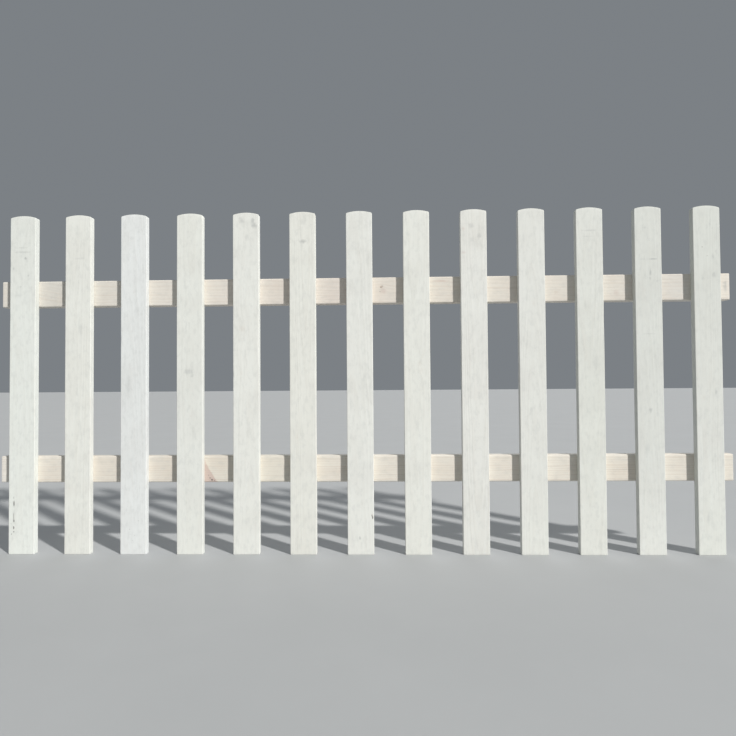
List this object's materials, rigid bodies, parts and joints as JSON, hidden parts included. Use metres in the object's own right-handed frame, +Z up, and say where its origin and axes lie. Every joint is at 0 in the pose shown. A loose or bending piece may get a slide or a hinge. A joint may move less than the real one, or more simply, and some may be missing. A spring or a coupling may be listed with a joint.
{
  "type": "picket fence panel",
  "caption": "Straight timber picket fence panel: upright pickets with shallow domed tops, screwed from behind to two horizontal rails that overhang at both ends.",
  "frame": {"origin": "centre of the footprint, at the height of the pickets' feet", "axes": "+Z up, +X along the panel to the right as seen from the front, -Y the side that the pickets face, +Y the rail side"},
  "size_m": [1.83, 0.046, 0.852],
  "materials": {
    "picket_wood": "whitewashed softwood, thin greenish-white water-based coat, fine sanded, grain just showing",
    "rail_wood": "whitewashed softwood, thin cream-white coat over planed face, warm grain showing through",
    "screw_steel": "satin stainless wood screw"
  },
  "bodies": {
    "root": {"picket_01": "picket_wood", "picket_02": "picket_wood", "picket_03": "picket_wood", "picket_04": "picket_wood", "picket_05": "picket_wood", "picket_06": "picket_wood", "picket_07": "picket_wood", "picket_08": "picket_wood", "picket_09": "picket_wood", "picket_10": "picket_wood", "picket_11": "picket_wood", "picket_12": "picket_wood", "picket_13": "picket_wood", "top_rail": "rail_wood", "bottom_rail": "rail_wood", "screws_picket_01": "screw_steel", "screws_picket_02": "screw_steel", "screws_picket_03": "screw_steel", "screws_picket_04": "screw_steel", "screws_picket_05": "screw_steel", "screws_picket_06": "screw_steel", "screws_picket_07": "screw_steel", "screws_picket_08": "screw_steel", "screws_picket_09": "screw_steel", "screws_picket_10": "screw_steel", "screws_picket_11": "screw_steel", "screws_picket_12": "screw_steel", "screws_picket_13": "screw_steel"}
  },
  "joints": []
}
